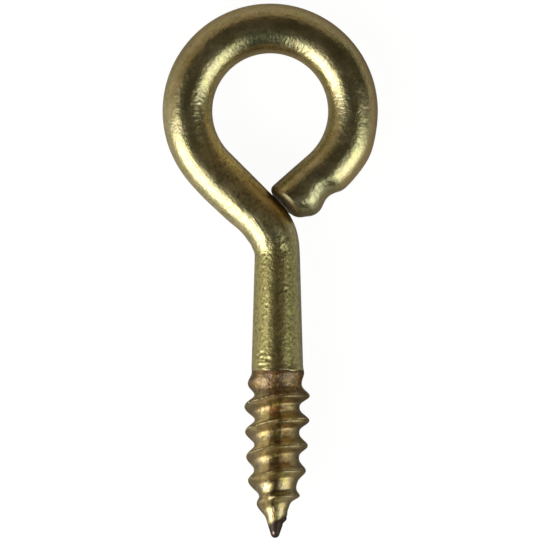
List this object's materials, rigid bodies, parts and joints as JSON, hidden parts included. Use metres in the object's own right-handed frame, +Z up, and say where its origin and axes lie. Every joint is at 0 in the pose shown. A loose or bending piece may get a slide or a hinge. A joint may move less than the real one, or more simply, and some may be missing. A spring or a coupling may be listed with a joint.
{
  "type": "screw eye",
  "caption": "Small round-wire screw eye: a ring bent almost shut on a straight shank with a tapered, rolled wood-screw thread and a point, lying flat.",
  "frame": {"origin": "centre of the footprint of the screw eye as it lies on a table, at the level of the table", "axes": "+Y from the point towards the eye, along the wire's length; +X to the side on which the eye's free end meets the leg; +Z up from the table, through the eye"},
  "size_m": [0.012, 0.03, 0.0037],
  "materials": {
    "wire": "bright plated, worn to a copper brown on the thread and dark at the point"
  },
  "bodies": {
    "root": {"screw_eye": "wire"}
  },
  "joints": []
}
